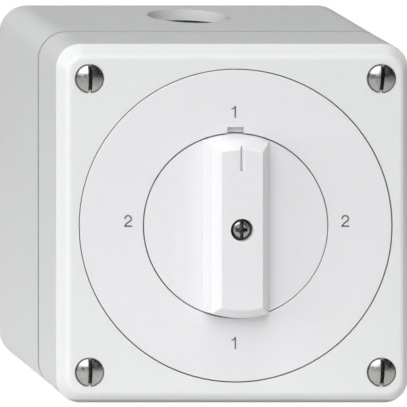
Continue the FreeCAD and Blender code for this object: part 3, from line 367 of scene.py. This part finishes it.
finishes = {
    "shell_white": moulded(
        "shell_white",
        light=(0.80, 0.812, 0.808),
        dark=(0.785, 0.797, 0.794),
        roughness=0.42,
        grain=0.22,
        grain_depth=0.010,
        subsurface=0.12,
        # Painted shade in gaps up to 1.6 mm wide, and a painted dark band along the seam between base and
        # cover.
        gap=1.6,
        shade_strength=0.9,
        seam=cover_back_y / MM + SEAM_GAP / 2,
    ),
    "insert_white": moulded(
        "insert_white",
        light=(0.81, 0.812, 0.826),
        dark=(0.797, 0.799, 0.812),
        roughness=0.38,
        grain=0.16,
        grain_depth=0.007,
        subsurface=0.12,
    ),
    "legend_grey": printed("legend_grey", (0.11, 0.11, 0.115)),
    "polished_nickel": turned_metal(
        "polished_nickel",
        colour=(0.56, 0.555, 0.535),
        shade=(0.46, 0.455, 0.435),
        roughness=0.25,
        centre_x=screw_x,
        centre_z=screw_z,
    ),
    "zinc_steel": turned_metal("zinc_steel", (0.62, 0.63, 0.65), (0.5, 0.51, 0.53), 0.34),
    "spring_steel": drawn_metal("spring_steel", (0.42, 0.43, 0.44), (0.33, 0.34, 0.36), 0.3),
    "brass": drawn_metal("brass", (0.78, 0.60, 0.28), (0.66, 0.49, 0.22), 0.28),
    "silvered_copper": drawn_metal("silvered_copper", (0.80, 0.50, 0.36), (0.70, 0.42, 0.30), 0.3),
    "block_grey": moulded(
        "block_grey",
        light=(0.115, 0.12, 0.126),
        dark=(0.095, 0.1, 0.105),
        roughness=0.5,
        grain=0.2,
        grain_depth=0.02,
    ),
    "cam_ivory": moulded(
        "cam_ivory",
        light=(0.66, 0.62, 0.51),
        dark=(0.60, 0.56, 0.46),
        roughness=0.4,
        grain=0.2,
        grain_depth=0.008,
    ),
    "seal_rubber": rubber("seal_rubber", (0.035, 0.035, 0.038)),
}
for name, node in nodes.items():
    for number in range(len(node.material_slots)):
        node.material_slots[number].material = finishes[slot_of[name]]

# ---------------------------------------------------------------- numerals

NUMERAL_HEIGHT = 3.0 * MM
STROKE = 0.36 * MM
INK = 0.03 * MM


def ribbon(points, width):
    """A flat outline that follows a line of points at a constant width."""
    left, right = [], []
    for number, point in enumerate(points):
        before = points[max(number - 1, 0)]
        after = points[min(number + 1, len(points) - 1)]
        along = (after - before).normalized()
        aside = Vector((-along.y, along.x)) * width / 2
        left.append(point + aside)
        right.append(point - aside)
    return left + right[::-1]


def arc(centre, radius, start, end, steps=14):
    """Points on an arc, in degrees."""
    angles = [math.radians(start + (end - start) * step / steps) for step in range(steps + 1)]
    return [centre + Vector((math.cos(angle), math.sin(angle))) * radius for angle in angles]


def digit_one():
    """A stem and a short flag that curves up into it."""
    height = NUMERAL_HEIGHT
    stem_x = 0.55 * MM
    stem = ribbon([Vector((stem_x, 0.0)), Vector((stem_x, height))], STROKE)
    flag_low = Vector((stem_x - 0.95 * MM, height * 0.745))
    flag = ribbon(
        [flag_low, flag_low + Vector((0.45, 0.07)) * MM, Vector((stem_x, height - STROKE * 0.3))],
        STROKE * 0.85,
    )
    return [stem, flag]


def digit_two():
    """A round top, a diagonal that swings back to the left, and a straight foot."""
    height = NUMERAL_HEIGHT
    radius = 0.78 * MM
    centre = Vector((0.0, height - radius - STROKE / 2))
    bowl = arc(centre, radius, 188.0, -28.0)
    heel = Vector((-0.8 * MM, STROKE * 0.6))
    middle = Vector((-0.05 * MM, height * 0.37))
    bend = bowl[-1].lerp(middle, 0.5) + Vector((0.05, -0.04)) * MM
    swing = [bend, middle, Vector((-0.6 * MM, height * 0.19))]
    line = ribbon(bowl + swing + [heel], STROKE)
    foot = ribbon([Vector((-0.98 * MM, STROKE / 2)), Vector((0.98 * MM, STROKE / 2))], STROKE)
    return [line, foot]


def printed_numeral(name, outlines, across, up):
    """A raised film of ink on the front plate, with its own thickness."""
    mesh = bpy.data.meshes.new(name)
    build = bmesh.new()
    for outline in outlines:
        for number in range(len(outline) // 2 - 1):
            last = len(outline) - 1
            corners = [outline[i] for i in (number, number + 1, last - number - 1, last - number)]
            front, back = [], []
            for corner in corners:
                x, z = across + corner.x, up + corner.y - NUMERAL_HEIGHT / 2
                front.append(build.verts.new((x, face_y - INK, z)))
                back.append(build.verts.new((x, face_y, z)))
            build.faces.new(front)
            for i in range(4):
                build.faces.new((front[i], back[i], back[(i + 1) % 4], front[(i + 1) % 4]))
    bmesh.ops.remove_doubles(build, verts=build.verts, dist=0.001 * MM)
    bmesh.ops.recalc_face_normals(build, faces=build.faces)
    build.to_mesh(mesh)
    build.free()
    mesh.materials.append(finishes["legend_grey"])
    piece = bpy.data.objects.new(name, mesh)
    bpy.context.scene.collection.objects.link(piece)
    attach(piece, "housing")


# How each numeral is drawn, and where its middle stands: across and up from the axis, in millimetres.
NUMERALS = {
    "numeral_1_top": (digit_one, -0.65, 28.45),
    "numeral_1_bottom": (digit_one, -0.65, -29.35),
    "numeral_2_left": (digit_two, -26.9, 1.2),
    "numeral_2_right": (digit_two, 27.4, 1.2),
}
for name, (draw, across, up) in NUMERALS.items():
    printed_numeral(name, draw(), across * MM, up * MM)

# ---------------------------------------------------------------- floor and light

FLOOR_DARK = (0.43, 0.43, 0.43)
FLOOR_LIGHT = (0.46, 0.46, 0.46)
FLOOR_REACH = 3.0  # in metres, to each side
FLOOR_SEEN = 0.85  # how strongly the floor glows for the camera
FLOOR_GLOW = 0.36  # the light that it sheds near the box
FLOOR_FAR_GLOW = 0.03  # and far from it
GLOW_START = 160.0  # where the shed light begins to fade, in millimetres from the origin
GLOW_END = 420.0  # where it has faded
ROOM_LEVEL = 0.03  # of the world's light, except straight to the camera
# Each soft light's name, azimuth and elevation in degrees, distance and size in metres, and power in watts.
LIGHTS = (
    ("key", -20.0, 40.0, 1.5, 1.4, 20.8),
    ("left", -76.0, 8.0, 1.3, 0.7, 6.6),
    ("top", 10.0, 80.0, 1.3, 0.4, 3.3),
    ("behind", 130.0, 5.0, 1.6, 1.0, 5.0),
)


def by_ray(shader, seen, unseen):
    """One strength for what the camera sees directly, and another for the light that it sheds."""
    path = shader.add("ShaderNodeLightPath")
    return shader.spread(path.outputs["Is Camera Ray"], unseen, seen)


def make_floor():
    """A pale floor, lit from within like a light table, whose shed light fades away from the box."""
    mesh = bpy.data.meshes.new("floor")
    build = bmesh.new()
    for x, y in ((-1, -1), (1, -1), (1, 1), (-1, 1)):
        build.verts.new((x * FLOOR_REACH, y * FLOOR_REACH, box_bottom))
    build.faces.new(build.verts)
    build.to_mesh(mesh)
    build.free()
    floor = bpy.data.objects.new("floor", mesh)
    bpy.context.scene.collection.objects.link(floor)
    shader = Shader("floor_white")
    cloud = shader.noise(60.0, detail=3.0)
    away = shader.vector("LENGTH", shader.place)
    glow = shader.spread(away, FLOOR_GLOW, FLOOR_FAR_GLOW, GLOW_START, GLOW_END)
    shader.set(
        Base_Color=shader.mix(shader.vary(cloud, 0.0, 1.0), FLOOR_DARK, FLOOR_LIGHT),
        Roughness=shader.vary(cloud, 0.6, 0.7),
        Emission_Color=(1.0, 1.0, 1.0, 1.0),
        Emission_Strength=by_ray(shader, FLOOR_SEEN, glow),
    )
    mesh.materials.append(shader.material)


def soft_box(name, azimuth, elevation, distance, size, power):
    """A square light that faces the switch. Azimuth 0 is in front of it, and positive is to the right."""
    data = bpy.data.lights.new(name, "AREA")
    data.shape = "SQUARE"
    data.size = size
    data.energy = power
    light = bpy.data.objects.new(name, data)
    bpy.context.scene.collection.objects.link(light)
    a, e = math.radians(azimuth), math.radians(elevation)
    way = Vector((math.sin(a) * math.cos(e), -math.cos(a) * math.cos(e), math.sin(e)))
    aim = Vector((0.0, face_y, 0.0))
    light.location = aim + way * distance
    light.rotation_euler = (-way).to_track_quat("-Z", "Y").to_euler()


def make_world():
    """White behind the object, and a dim room for everything else that the light meets."""
    world = bpy.data.worlds.new("studio")
    bpy.context.scene.world = world
    world.use_nodes = True
    tree = world.node_tree
    path = tree.nodes.new("ShaderNodeLightPath")
    level = tree.nodes.new("ShaderNodeMapRange")
    level.inputs["To Min"].default_value = ROOM_LEVEL
    level.inputs["To Max"].default_value = 1.0
    tree.links.new(path.outputs["Is Camera Ray"], level.inputs["Value"])
    background = tree.nodes["Background"]
    background.inputs["Color"].default_value = (1.0, 1.0, 1.0, 1.0)
    tree.links.new(level.outputs["Result"], background.inputs["Strength"])


make_floor()
make_world()
for light in LIGHTS:
    soft_box(*light)
bpy.context.scene.view_settings.view_transform = "Standard"
